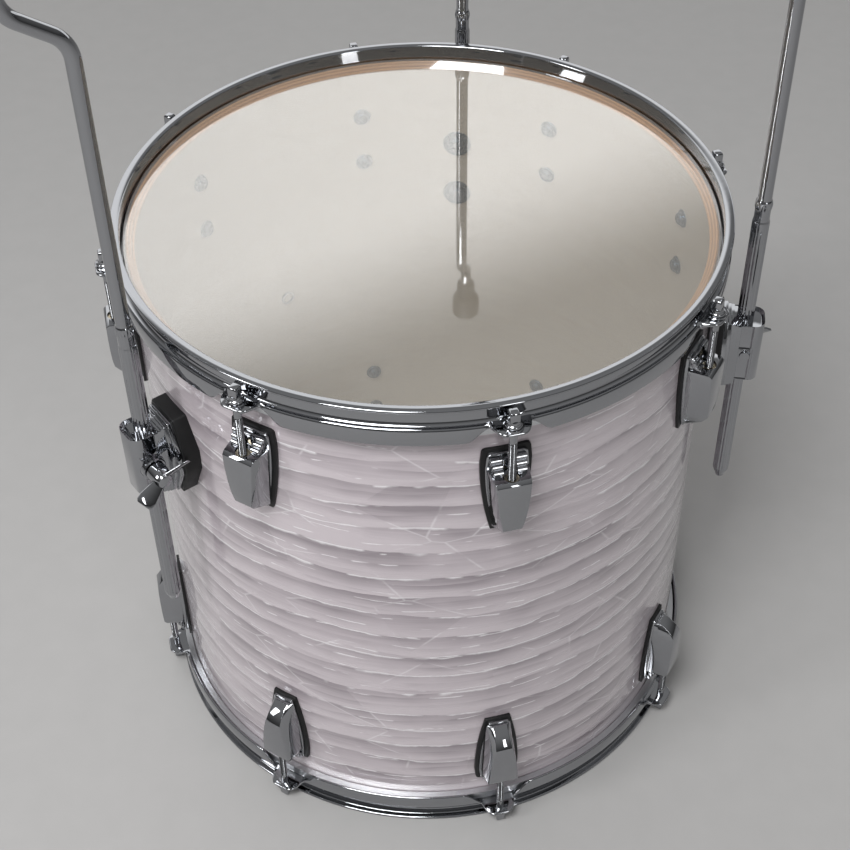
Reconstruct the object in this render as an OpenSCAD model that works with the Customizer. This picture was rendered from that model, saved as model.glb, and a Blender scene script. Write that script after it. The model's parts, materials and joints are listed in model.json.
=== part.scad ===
// Floor tom standing inverted on its batter hoop: the batter head is down, the legs point up.
// The drum's axis is Z, the floor is z = 0, and leg 1 stands on +X.

/* [Shell] */
// Outside diameter of the wrapped shell
shell_d = 405.6; // [390:1:420]
// Length of the shell from edge to edge
shell_h = 406.4; // [340:1:480]
// Thickness of the maple ply
ply_t = 6.2; // [5:0.1:8]
// Thickness of the pearl wrap
wrap_t = 0.8; // [0.5:0.1:1]
// Diameter of the air vent
vent_d = 12; // [8:0.5:14]

/* [Heads and hoops] */
// Height of a hoop's rim beyond the shell's edge
rim_rise = 11; // [10:0.5:13]
// Thickness of the hoop's steel
steel_t = 2.2; // [1.6:0.1:2.4]
// Depth of a hoop from rim to skirt edge
hoop_depth = 27; // [25:0.5:30]
// Thickness of a head's film
film_t = 0.35; // [0.25:0.05:0.5]

/* [Tension] */
// Radius of the tension rods' circle beyond the shell
rod_offset = 13.7; // [13:0.1:15]
// Diameter of a tension rod
rod_d = 5.5; // [5:0.1:6]
// Length of a tension rod below its flange
rod_len = 72; // [60:1:80]
// Distance between a lug's two screws
lug_screws = 43; // [38:1:46]

/* [Lugs] */
// Length of a lug's rubber gasket
lug_len = 71; // [68:1:84]
// Width of a lug's rubber gasket
lug_w = 33; // [30:1:36]
// Distance from the rim to a lug's middle
lug_mid = 77; // [75:1:85]

/* [Legs] */
// Diameter of a leg's knurled half
knurl_d = 11.8; // [11:0.1:12.5]
// Diameter of a leg's smooth half
leg_d = 9.5; // [9:0.1:10.5]
// Distance from the shell's surface to a leg's axis
leg_offset = 25; // [24:0.5:27]
// Height of the brackets' middle above the floor
bracket_z = 320; // [300:1:330]
// How far the second leg is pushed in past the others
leg_2_set = 14; // [0:1:20]
// Angle of the legs' bend away from vertical
bend_a = 52; // [40:1:60]

/* [Hidden] */
$fn = 96;
top_z = shell_h + 2 * rim_rise;
wrap_r = shell_d / 2;
ply_r = wrap_r - wrap_t;
bore_r = ply_r - ply_t;
rod_r = wrap_r + rod_offset;
lug_count = 8;
lug_a = [for (k = [0 : lug_count - 1]) 22.5 + 45 * k];
leg_a = [0, 225, 90];
leg_set = [0, -leg_2_set, 0];
leg_r = wrap_r + leg_offset;
vent_a = 135;

// hoop section
wall_r = wrap_r + 1.8;
shoulder = 17;
skirt_r = wall_r + 4.4;
lip_r = wall_r + 6.6;
ear_top = 13.6;
ear_t = 2.4;
ear_reach = rod_r + 6.5;
flesh_in = wrap_r + 0.7;
flesh_out = flesh_in + 4.4;

// rods and their washers
washer_t = 1.6;
flange_z = top_z - ear_top + washer_t;
flange_d = 11;
key_square = 6.35;
key_top = 11.4;

// lug section, measured outward from the shell's surface
gasket_t = 1.8;
base_t = 4.2;
nose_out = 20.4;
nose_in = 56 - lug_mid;
nose_end = 97 - lug_mid;
nose_half_in = 13.4;
nose_half_out = 10.8;
socket_d = 9.6;

// leg bracket
pad_t = 10;
pad_h = 66;
pad_w = 48;
block_w = 23;
block_h = 50;
block_mid = bracket_z + 3;
block_out = leg_offset + 13.6;
screw_gap = 48.4;
bolt_z = bracket_z;
bolt_out = leg_offset + 2.5;
bolt_d = 8;
clamp_d = 10.8;
leg_way_d = knurl_d + 0.16;

// leg heights at the common setting
leg_end = 190;
knurl_top = 430;
collar_z = 447;
bend_z = 632;
bend_r = 24;
slant = 22;
foot_len = 36;
// where the leg is upright again after its two bends
foot_x = 2 * bend_r * (1 - cos(bend_a)) + slant * sin(bend_a);
foot_z = bend_z + 2 * bend_r * sin(bend_a) + slant * cos(bend_a);
// the bends are drawn a hair thinner, and the straight lengths lap over their ends
bend_lap = 0.3;
bend_d = leg_d - 0.06;
knurl_r = knurl_d / 2;

// ---- helpers ----

// turns a resonant (upper) piece over into its batter (lower) twin
module turned_over() translate([0, 0, top_z]) mirror([0, 0, 1]) children();

// puts a piece drawn outward along +X at one angle round the drum
module round_drum(a) rotate([0, 0, a]) children();

// extrudes an outline drawn as (across, up) outward between two radii
module outward(r0, r1)
    translate([r0, 0, 0]) rotate([90, 0, 90]) linear_extrude(r1 - r0) children();

// extrudes a profile drawn as (radius, up) across the radial direction
module across(w) rotate([90, 0, 0]) linear_extrude(w, center = true) children();

// a cylinder lying along the radius
module radial_rod(r0, r1, d) translate([r0, 0, 0]) rotate([0, 90, 0]) cylinder(h = r1 - r0, d = d);

// a tube between two radii
module ring(r_in, r_out, h) difference() {
    cylinder(h = h, r = r_out, $fn = 240);
    translate([0, 0, -1]) cylinder(h = h + 2, r = r_in, $fn = 240);
}

// ---- shell ----

// every hole that is drilled through shell and wrap
module shell_holes() {
    for (a = lug_a, z = [top_z - lug_mid, lug_mid], s = [-1, 1])
        round_drum(a) translate([0, 0, z + s * lug_screws / 2]) radial_rod(bore_r - 5, wrap_r + 5, 5.6);
    for (a = leg_a, s = [-1, 1])
        round_drum(a) translate([0, 0, bracket_z + s * screw_gap / 2])
            radial_rod(bore_r - 5, wrap_r + 5, 6.8);
    round_drum(vent_a) translate([0, 0, top_z / 2]) radial_rod(bore_r - 5, wrap_r + 5, vent_d);
}

module shell() color("burlywood") difference() {
    translate([0, 0, top_z / 2]) rotate_extrude($fn = 240)
        for (s = [-1, 1]) scale([1, s]) polygon([
            [bore_r, 0], [ply_r, 0],
            [ply_r, shell_h / 2 - 1.5], [ply_r - 1.5, shell_h / 2],
            [bore_r, shell_h / 2 - ply_t + 1.5]
        ]);
    shell_holes();
}

module shell_wrap() color("thistle") difference() {
    translate([0, 0, rim_rise + 4]) ring(ply_r, wrap_r, shell_h - 8);
    shell_holes();
}

module vent_grommet() color("silver")
    round_drum(vent_a) translate([0, 0, top_z / 2]) difference() {
        union() {
            radial_rod(bore_r - 1.2, wrap_r + 1, vent_d - 0.4);
            // outer flange, hollowed to sit on the round wall
            difference() {
                radial_rod(wrap_r - 1, wrap_r + 1.6, vent_d + 7);
                translate([0, 0, -20]) cylinder(h = 40, r = wrap_r, $fn = 240);
            }
            radial_rod(bore_r - 1.8, bore_r - 0.6, vent_d + 3);
        }
        radial_rod(bore_r - 5, wrap_r + 5, vent_d - 3);
    }

// ---- heads ----

module head_film() translate([0, 0, top_z - rim_rise]) rotate_extrude($fn = 240)
    polygon([
        [0, 0], [flesh_in - film_t, 0], [flesh_in - film_t, -10],
        [flesh_in, -10], [flesh_in, film_t - 0.3], [flesh_in - 0.3, film_t], [0, film_t]
    ]);

module flesh_hoop() translate([0, 0, top_z - shoulder]) rotate_extrude($fn = 240)
    polygon([
        [flesh_in, -8], [flesh_out, -8], [flesh_out, -0.8], [flesh_out - 0.8, 0],
        [flesh_in + 0.8, 0], [flesh_in, -0.8]
    ]);

module resonant_head_film() color([0.9, 0.88, 0.84, 0.5]) head_film();
module batter_head_film() color([0.95, 0.95, 0.93]) turned_over() head_film();
module resonant_flesh_hoop() color("silver") flesh_hoop();
module batter_flesh_hoop() color("silver") turned_over() flesh_hoop();

// ---- hoops ----

// the section of a hoop, as (radius, height below the rim)
module hoop_section() {
    cove = 3.6;
    centre = [wall_r + steel_t + cove, shoulder - steel_t - cove];
    polygon(concat(
        [[wall_r, -0.8], [wall_r + 0.8, 0], [lip_r - 0.8, 0], [lip_r, -0.8], [lip_r, -steel_t + 0.4],
         [lip_r - 0.4, -steel_t], [wall_r + steel_t, -steel_t]],
        [for (a = [180 : 15 : 270])
            [centre[0] + cove * cos(a), -centre[1] + cove * sin(a)]],
        [[skirt_r + steel_t, -shoulder + steel_t - 0.6], [skirt_r + steel_t, -hoop_depth],
         [skirt_r, -hoop_depth], [skirt_r, -shoulder], [wall_r, -shoulder]]
    ));
}

// a flat ear that takes one rod, drawn as (radius, across)
module ear_outline() difference() {
    union() {
        polygon([[wall_r + 1, -19], [skirt_r + 1.2, -19], [rod_r - 3, -9],
                 [ear_reach - 5, -9], [ear_reach - 5, 9], [rod_r - 3, 9],
                 [skirt_r + 1.2, 19], [wall_r + 1, 19]]);
        for (s = [-1, 1]) translate([ear_reach - 5, s * 4]) circle(r = 5);
        translate([ear_reach - 6, -4]) square([6, 8]);
    }
    translate([rod_r, 0]) circle(d = rod_d + 1.1);
}

module hoop() difference() {
    union() {
        translate([0, 0, top_z]) rotate_extrude($fn = 240) hoop_section();
        for (a = lug_a) round_drum(a)
            translate([0, 0, top_z - ear_top - ear_t]) linear_extrude(ear_t) ear_outline();
    }
    // the skirt is opened under each ear
    for (a = lug_a) round_drum(a) outward(skirt_r - 4, skirt_r + steel_t + 3)
        translate([0, top_z]) polygon([
            [-12, -shoulder], [12, -shoulder], [15, -shoulder - 3], [20, -hoop_depth + 2],
            [24, -hoop_depth - 1], [-24, -hoop_depth - 1], [-20, -hoop_depth + 2], [-15, -shoulder - 3]
        ]);
}

module resonant_hoop() color("gainsboro") hoop();
module batter_hoop() color("gainsboro") turned_over() hoop();

// ---- lugs: drawn on +X with z = 0 at the lug's middle, the hoop's side up ----

// the shield outline of a lug, inset from the gasket's edge
module shield(inset) {
    half = lug_w / 2;
    top = lug_len / 2 - inset;
    polygon(concat(
        [[half - 3.2 - inset, top], [half - 1.2 - inset, top - 2.4]],
        [for (k = [0 : 6]) let (u = k / 6)
            [half - inset - 7.2 * u * u, top - 12 - u * (2 * top - 14)]],
        [for (k = [6 : -1 : 0]) let (u = k / 6)
            [-(half - inset - 7.2 * u * u), top - 12 - u * (2 * top - 14)]],
        [[-(half - 1.2 - inset), top - 2.4], [-(half - 3.2 - inset), top]]
    ));
}

module gasket_body() intersection() {
    outward(wrap_r - 6, wrap_r + 8) shield(0);
    translate([0, 0, -lug_len]) ring(wrap_r, wrap_r + gasket_t, 2 * lug_len);
}

module nose() intersection() {
    across(40) polygon([
        [wrap_r + base_t, -nose_in], [wrap_r + nose_out - 0.8, -nose_in],
        [wrap_r + nose_out, -nose_in - 0.8], [wrap_r + nose_out, -nose_end],
        [wrap_r + nose_out - 4, -nose_end - 5], [wrap_r + nose_out - 9, -nose_end - 8.5],
        [wrap_r + base_t, -nose_end - 12]
    ]);
    // narrows away from the hoop
    outward(wrap_r, wrap_r + 30) polygon([
        [nose_half_in, -nose_in + 1], [-nose_half_in, -nose_in + 1],
        [-nose_half_in + 5.4, -nose_end - 13], [nose_half_in - 5.4, -nose_end - 13]
    ]);
    // narrows outward
    translate([0, 0, -60]) linear_extrude(120) polygon([
        [wrap_r, nose_half_in + 0.4], [wrap_r + base_t, nose_half_in], [wrap_r + nose_out, nose_half_out],
        [wrap_r + nose_out, -nose_half_out], [wrap_r + base_t, -nose_half_in], [wrap_r, -nose_half_in - 0.4]
    ]);
}

module lug_body() difference() {
    union() {
        difference() {
            union() {
                outward(wrap_r - 4, wrap_r + base_t) shield(2.6);
                outward(wrap_r - 4, wrap_r + base_t + 2) shield(5.4);
            }
            translate([0, 0, -lug_len]) cylinder(h = 2 * lug_len, r = wrap_r + gasket_t, $fn = 240);
        }
        // half-round ribs that climb toward the nose
        for (k = [0 : 2]) translate([wrap_r + base_t + 1.6 + 1.7 * k, 0, lug_len / 2 - 6.5 - 4.6 * k])
            rotate([90, 0, 0]) cylinder(h = 23 - k, r = 2.5 + 0.5 * k, center = true, $fn = 48);
        nose();
    }
    // channel behind the rod
    translate([rod_r, 0, -nose_in - 0.5]) cylinder(h = 60, r = 6.2, $fn = 48);
    // seat of the swivel nut
    translate([rod_r, 0, -nose_end + 4]) cylinder(h = 80, d = socket_d, $fn = 48);
    for (s = [-1, 1]) translate([0, 0, s * lug_screws / 2]) radial_rod(wrap_r - 4, wrap_r + 6.4, 5);
}

module at_lug(k) round_drum(lug_a[k - 1]) translate([0, 0, top_z - lug_mid]) children();

module resonant_lug(k) color("silver") at_lug(k) lug_body();
module batter_lug(k) color("silver") turned_over() at_lug(k) lug_body();

module lug_gaskets() color([0.1, 0.1, 0.1]) for (k = [1 : lug_count]) {
    at_lug(k) drilled_gasket();
    turned_over() at_lug(k) drilled_gasket();
}

module drilled_gasket() difference() {
    gasket_body();
    for (s = [-1, 1]) translate([0, 0, s * lug_screws / 2]) radial_rod(wrap_r - 4, wrap_r + 8, 5.6);
}

// the threaded insert that takes a rod
module nut() translate([rod_r, 0, -nose_end + 4.2]) difference() {
    cylinder(h = nose_end - nose_in - 5, d = socket_d - 0.2, $fn = 48);
    translate([0, 0, -1]) cylinder(h = 80, d = rod_d + 0.14, $fn = 48);
}

module swivel_nuts() color("gold") for (k = [1 : lug_count]) {
    at_lug(k) nut();
    turned_over() at_lug(k) nut();
}

// ---- screws inside the shell ----

// pan-headed screw pointing outward, its washer's face on the ply
module pan_screw(d, head_d, head_h, washer_h, out_r) {
    difference() {
        translate([bore_r - washer_h, 0, 0]) rotate([0, -90, 0])
            cylinder(h = head_h, d1 = head_d, d2 = head_d - 2.5, $fn = 48);
        translate([bore_r - washer_h - head_h, 0, 0]) for (t = [0, 90]) rotate([t, 0, 0])
            cube([2.8, head_d * 0.5, 1.4], center = true);
    }
    radial_rod(bore_r - washer_h, out_r, d);
}

module screw_washer(d_in, d_out, h) difference() {
    radial_rod(bore_r - h, bore_r + 0.1, d_out);
    radial_rod(bore_r - 3, bore_r + 3, d_in);
    // the washer's back takes the curve of the wall
    translate([0, 0, -d_out]) difference() {
        cylinder(h = 2 * d_out, r = bore_r + 5, $fn = 240);
        translate([0, 0, -1]) cylinder(h = 2 * d_out + 2, r = bore_r, $fn = 240);
    }
}

module at_lug_screws() for (a = lug_a, z = [top_z - lug_mid, lug_mid], s = [-1, 1])
    round_drum(a) translate([0, 0, z + s * lug_screws / 2]) children();

module at_bracket_screws() for (a = leg_a, s = [-1, 1])
    round_drum(a) translate([0, 0, bracket_z + s * screw_gap / 2]) children();

module shell_screws() color("slategray") {
    at_lug_screws() pan_screw(4.8, 10, 3, 1.4, wrap_r + 6);
    at_bracket_screws() pan_screw(6, 13, 4, 1.8, wrap_r + pad_t + 3.5);
}

module screw_washers() color("lightslategray") {
    at_lug_screws() screw_washer(5.2, 12.5, 1.4);
    at_bracket_screws() screw_washer(6.4, 20, 1.8);
}

// ---- tension rods ----

module rod(k) at_rod(k) {
    translate([0, 0, -rod_len]) cylinder(h = rod_len + 1, d = rod_d, $fn = 48);
    cylinder(h = 2.4, d = flange_d, $fn = 48);
    translate([0, 0, 2.4]) cylinder(h = 2, d1 = flange_d - 1, d2 = key_square + 0.65, $fn = 48);
    translate([-key_square / 2, -key_square / 2, 3]) cube([key_square, key_square, key_top - 3]);
}

module at_rod(k) round_drum(lug_a[k - 1]) translate([rod_r, 0, flange_z]) children();

module resonant_rod(k) color("gainsboro") rod(k);
module batter_rod(k) color("gainsboro") turned_over() rod(k);

module rod_washer() translate([0, 0, -washer_t]) difference() {
    cylinder(h = washer_t, d = flange_d + 1.6, $fn = 48);
    translate([0, 0, -1]) cylinder(h = 4, d = rod_d + 0.7, $fn = 48);
}

module rod_washers() color("lightgray") for (k = [1 : lug_count]) {
    at_rod(k) rod_washer();
    turned_over() at_rod(k) rod_washer();
}

// ---- leg brackets: drawn on +X at true height ----

module octagon(half_w, half_h, cut_w, cut_h) polygon([
    [half_w, cut_h], [cut_w, half_h], [-cut_w, half_h], [-half_w, cut_h],
    [-half_w, -cut_h], [-cut_w, -half_h], [cut_w, -half_h], [half_w, -cut_h]
]);

module bracket_gasket() difference() {
    translate([0, 0, bracket_z]) outward(wrap_r - 4, wrap_r + pad_t)
        octagon(pad_w / 2, pad_h / 2, 13.5, 8);
    translate([0, 0, bracket_z - 60]) cylinder(h = 120, r = wrap_r, $fn = 240);
    for (s = [-1, 1]) translate([0, 0, bracket_z + s * screw_gap / 2])
        radial_rod(wrap_r - 6, wrap_r + 20, 6.8);
}

module bracket_gaskets() color([0.1, 0.1, 0.1]) for (a = leg_a) round_drum(a) bracket_gasket();

// the block in plan: square on the shell's side, rounded on the outer one
module block_plan() {
    r = 7;
    x1 = wrap_r + block_out;
    translate([wrap_r + pad_t, -block_w / 2]) square([block_out - pad_t - r, block_w]);
    for (s = [-1, 1]) translate([x1 - r, s * (block_w / 2 - r)]) circle(r = r);
    translate([x1 - r - 1, -block_w / 2 + r]) square([r + 1, block_w - 2 * r]);
}

module leg_bracket(k) color("silver") round_drum(leg_a[k - 1]) difference() {
    union() {
        translate([0, 0, bracket_z]) {
            outward(wrap_r + pad_t, wrap_r + pad_t + 3.6) octagon(21.5, 30.8, 12, 9);
            outward(wrap_r + pad_t, wrap_r + pad_t + 6) octagon(17.5, 29.2, 11.8, 10);
            // tiers above and below the block
            for (k = [0 : 2]) outward(wrap_r + pad_t, wrap_r + pad_t + 8.2 + 2.2 * k)
                square([23.4 - 0.4 * k, 57 - 1.6 * k], center = true);
        }
        translate([0, 0, block_mid - block_h / 2]) linear_extrude(block_h) block_plan();
        // boss of the wing bolt
        at_bolt() cylinder(h = block_w / 2 + 3, d = 17, $fn = 64);
    }
    // way of the leg, with a recess at each mouth
    translate([leg_r, 0, block_mid - 60]) cylinder(h = 120, d = leg_way_d, $fn = 64);
    for (z = [block_mid + block_h / 2 - 3, block_mid - block_h / 2 - 1])
        translate([leg_r, 0, z]) cylinder(h = 4, d = knurl_d + 5, $fn = 64);
    // way of the wing bolt and of its pad
    at_bolt() {
        cylinder(h = 40, d = bolt_d + 0.16, $fn = 48);
        cylinder(h = 11, d = clamp_d + 0.4, $fn = 48);
    }
    for (s = [-1, 1]) translate([0, 0, bracket_z + s * screw_gap / 2])
        radial_rod(wrap_r - 6, wrap_r + pad_t + 4, 6.2);
}

// shoe between the wing bolt's tip and the leg
module clamp_pad() difference() {
    at_bolt() translate([0, 0, 4.6]) cylinder(h = 5, d = clamp_d, $fn = 48);
    translate([leg_r, 0, bolt_z - 20]) cylinder(h = 40, d = leg_way_d, $fn = 64);
}

module clamp_pads() color("dimgray") for (a = leg_a) round_drum(a) clamp_pad();

// puts a piece drawn upward on the wing bolt's axis
module at_bolt() translate([wrap_r + bolt_out, 0, bolt_z]) rotate([-90, 0, 0]) children();

// one wing of the bolt's head, drawn outward along +X
module wing() rotate([32, 0, 0]) translate([0, 0, -1.4]) linear_extrude(2.8) {
    polygon([[2, -4.5], [11, -5.5], [17.6, -6.5], [17.6, 6.5], [11, 5.5], [2, 4.5]]);
    for (s = [-1, 1]) translate([17.5, s * 2.5]) circle(r = 4, $fn = 48);
    translate([17.5, -2.5]) square([4, 5]);
}

module wing_bolt(k) color("silver") round_drum(leg_a[k - 1]) at_bolt() {
    rotate_extrude($fn = 64) polygon([
        [0, 9.7], [3.4, 9.7], [4, 10.3], [4, 15], [7, 15], [6.6, 22], [5, 27], [3.6, 28.6], [0, 28.6]
    ]);
    // the wings lean out, the outer one down
    for (s = [0, 180]) translate([0, 0, 24]) rotate([0, 0, 26 + s]) rotate([0, -15, 0]) wing();
}

// ---- legs: drawn on +X at true height ----

module at_leg(k) round_drum(leg_a[k - 1]) translate([leg_r, 0, leg_set[k - 1]]) children();

// a bend of round bar in the XZ plane, from straight up toward +X
module bar_bend(angle, r, d) translate([r, 0, 0]) rotate([90, 0, 180])
    rotate_extrude(angle = angle, $fn = 128) translate([r, 0]) circle(d = d, $fn = 64);

module leg(k) color("gainsboro") at_leg(k) {
    rotate_extrude($fn = 64) polygon([
        [0, leg_end], [3.2, leg_end], [knurl_r, leg_end + 9], [knurl_r, knurl_top],
        [knurl_r - 0.5, knurl_top + 2], [knurl_r - 0.5, collar_z - 6], [knurl_r, collar_z - 5.4],
        [knurl_r, collar_z], [leg_d / 2, collar_z + 1.4],
        [leg_d / 2, bend_z + bend_lap], [0, bend_z + bend_lap]
    ]);
    translate([0, 0, bend_z]) bar_bend(bend_a, bend_r, bend_d);
    translate([bend_r * (1 - cos(bend_a)), 0, bend_z + bend_r * sin(bend_a)]) rotate([0, bend_a, 0]) {
        translate([0, 0, -bend_lap]) cylinder(h = slant + 2 * bend_lap, d = leg_d, $fn = 64);
        translate([0, 0, slant]) mirror([1, 0, 0]) bar_bend(bend_a, bend_r, bend_d);
    }
    translate([foot_x, 0, foot_z - bend_lap]) cylinder(h = foot_len - 8 + bend_lap, d = leg_d, $fn = 64);
}

module leg_foot(k) color([0.12, 0.12, 0.12]) at_leg(k) translate([foot_x, 0, foot_z + 6])
    rotate_extrude($fn = 64) polygon([
        [leg_d / 2 + 0.02, 0], [leg_d / 2 + 2.6, 0], [leg_d / 2 + 3.4, 2], [leg_d / 2 + 3.6, 14],
        [11.5, 20], [12.5, 24], [12.5, foot_len - 1.5], [11, foot_len], [0, foot_len],
        [0, foot_len - 14], [leg_d / 2 + 0.02, foot_len - 14]
    ]);

shell();
shell_wrap();
vent_grommet();
batter_head_film();
resonant_head_film();
batter_flesh_hoop();
resonant_flesh_hoop();
batter_hoop();
resonant_hoop();
for (k = [1 : lug_count]) {
    batter_lug(k);
    resonant_lug(k);
    batter_rod(k);
    resonant_rod(k);
}
lug_gaskets();
swivel_nuts();
shell_screws();
screw_washers();
rod_washers();
bracket_gaskets();
clamp_pads();
for (k = [1 : 3]) {
    leg_bracket(k);
    leg(k);
    leg_foot(k);
    wing_bolt(k);
}
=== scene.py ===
import json
import math
import bpy
import bmesh
from mathutils import Matrix, Vector


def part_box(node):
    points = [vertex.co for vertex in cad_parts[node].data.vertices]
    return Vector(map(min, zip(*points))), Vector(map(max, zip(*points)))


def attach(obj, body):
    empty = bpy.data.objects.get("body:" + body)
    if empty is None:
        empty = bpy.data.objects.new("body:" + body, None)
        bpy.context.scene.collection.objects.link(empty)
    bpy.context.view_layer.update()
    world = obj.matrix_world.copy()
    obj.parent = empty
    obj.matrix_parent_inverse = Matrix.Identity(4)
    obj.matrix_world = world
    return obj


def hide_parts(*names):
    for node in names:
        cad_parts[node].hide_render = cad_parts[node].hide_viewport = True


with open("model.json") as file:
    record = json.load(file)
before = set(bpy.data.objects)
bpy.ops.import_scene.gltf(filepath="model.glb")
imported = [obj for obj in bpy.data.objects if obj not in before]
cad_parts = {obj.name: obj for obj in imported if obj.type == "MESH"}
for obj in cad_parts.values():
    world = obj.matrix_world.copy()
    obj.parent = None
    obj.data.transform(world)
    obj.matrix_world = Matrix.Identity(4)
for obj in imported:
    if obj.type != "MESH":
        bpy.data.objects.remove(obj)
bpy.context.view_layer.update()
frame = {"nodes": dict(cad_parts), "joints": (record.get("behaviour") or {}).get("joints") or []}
nodes = frame["nodes"]
joints = {j["name"]: j for j in frame["joints"]}
print("frame loaded:", len(nodes), "nodes")

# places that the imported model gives
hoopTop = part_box("resonant_hoop")[1]
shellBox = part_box("shell")
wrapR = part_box("shell_wrap")[1].y
wrapT = 0.0008  # thickness of the pearl sheet
drum = {
    "topZ": hoopTop.z,
    "skirtR": hoopTop.x,
    "wrapR": wrapR,
    "edgeLow": shellBox[0].z,
    "edgeHigh": shellBox[1].z,
    "plyR": wrapR - wrapT,
    "plyT": 0.0062,
    "rodR": math.hypot(*joints["resonant_rod_1_turn"]["pos_m"][:2]),
    "legR": math.hypot(*joints["leg_1_slide"]["pos_m"][:2]),
}
lugCount, legCount = 8, 3


def roundAngle(joint):
    place = joints[joint]["pos_m"]
    return math.atan2(place[1], place[0])


lugAngles = [roundAngle(f"resonant_rod_{k}_turn") for k in range(1, lugCount + 1)]
legAngles = [roundAngle(f"leg_{k}_slide") for k in range(1, legCount + 1)]
lugMid = sum(c.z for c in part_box("resonant_lug_1")) / 2
bracketMid = sum(c.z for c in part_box("leg_bracket_1")) / 2


# mesh helpers

def newPiece(name, mesh, body=None, stands=(), material=None, smooth=None):
    piece = bpy.data.objects.new(name, mesh)
    bpy.context.scene.collection.objects.link(piece)
    if material:
        mesh.materials.clear()
        mesh.materials.append(material)
    if smooth is not None:
        shadeByAngle(mesh, smooth)
    if body:
        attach(piece, body)
    if stands:
        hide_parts(*stands)
    return piece


def shadeByAngle(mesh, degrees):
    mesh.polygons.foreach_set("use_smooth", [True] * len(mesh.polygons))
    mesh.set_sharp_from_angle(angle=math.radians(degrees))


def meshFrom(name, verts, faces):
    mesh = bpy.data.meshes.new(name)
    mesh.from_pydata([tuple(v) for v in verts], [], faces)
    work = bmesh.new()
    work.from_mesh(mesh)
    bmesh.ops.remove_doubles(work, verts=work.verts, dist=1e-6)
    bmesh.ops.recalc_face_normals(work, faces=work.faces)
    work.to_mesh(mesh)
    work.free()
    return mesh


def joinMeshes(name, meshes):
    work = bmesh.new()
    for mesh in meshes:
        work.from_mesh(mesh)
        bpy.data.meshes.remove(mesh)
    joined = bpy.data.meshes.new(name)
    work.to_mesh(joined)
    work.free()
    return joined


def turned(name, profile, steps, place=None):
    # a closed profile of (radius, height) points turned round the upright axis
    verts, faces = [], []
    count = len(profile)
    for s in range(steps):
        a = 2 * math.pi * s / steps
        for r, z in profile:
            verts.append((r * math.cos(a), r * math.sin(a), z))
    for s in range(steps):
        here, after = s * count, (s + 1) % steps * count
        for i in range(count):
            j = (i + 1) % count
            faces.append((here + i, here + j, after + j, after + i))
    mesh = meshFrom(name, verts, faces)
    if place:
        mesh.transform(place)
    return mesh


def slab(name, outline, x0, x1):
    # an outline of (across, up) points carried outward from x0 to x1
    count = len(outline)
    verts = [(x, y, z) for x in (x0, x1) for y, z in outline]
    faces = [tuple(range(count))[::-1], tuple(range(count, 2 * count))]
    for i in range(count):
        j = (i + 1) % count
        faces.append((i, j, j + count, i + count))
    return meshFrom(name, verts, faces)


def rectangle(halfW, halfH, z):
    # an outline for slab, round the height z
    return [(-halfW, z - halfH), (halfW, z - halfH), (halfW, z + halfH), (-halfW, z + halfH)]


def loft(name, rings):
    # closed rings of equal length, capped at both ends
    count = len(rings[0])
    verts = [p for ring in rings for p in ring]
    faces = [tuple(range(count)), tuple(range(len(verts) - count, len(verts)))[::-1]]
    for k in range(len(rings) - 1):
        for i in range(count):
            j = (i + 1) % count
            faces.append((k * count + i, k * count + j, (k + 1) * count + j, (k + 1) * count + i))
    return meshFrom(name, verts, faces)


def plainMesh(holder):
    bpy.context.view_layer.update()
    return bpy.data.meshes.new_from_object(holder.evaluated_get(bpy.context.evaluated_depsgraph_get()))


def finishedBy(mesh, kind, **settings):
    # runs one modifier on a mesh and returns the plain result
    holder = bpy.data.objects.new("holder", mesh)
    bpy.context.scene.collection.objects.link(holder)
    step = holder.modifiers.new(kind.lower(), kind)
    for key, value in settings.items():
        setattr(step, key, value)
    result = plainMesh(holder)
    bpy.data.objects.remove(holder)
    return result


def bevelled(mesh, width, segments=2, degrees=28):
    return finishedBy(mesh, "BEVEL", width=width, segments=segments, limit_method="ANGLE",
                      angle_limit=math.radians(degrees), use_clamp_overlap=True, harden_normals=False)


def cutBy(mesh, cutters):
    for cutter in cutters:
        tool = bpy.data.objects.new("cutter", cutter)
        bpy.context.scene.collection.objects.link(tool)
        mesh = finishedBy(mesh, "BOOLEAN", operation="DIFFERENCE", object=tool, solver="EXACT")
        bpy.data.objects.remove(tool)
        bpy.data.meshes.remove(cutter)
    return mesh


def smoothStep(low, high, value):
    t = min(max((value - low) / (high - low), 0.0), 1.0)
    return t * t * (3 - 2 * t)


def blendOf(a, b, t):
    return a + (b - a) * t


# shader helpers

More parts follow.
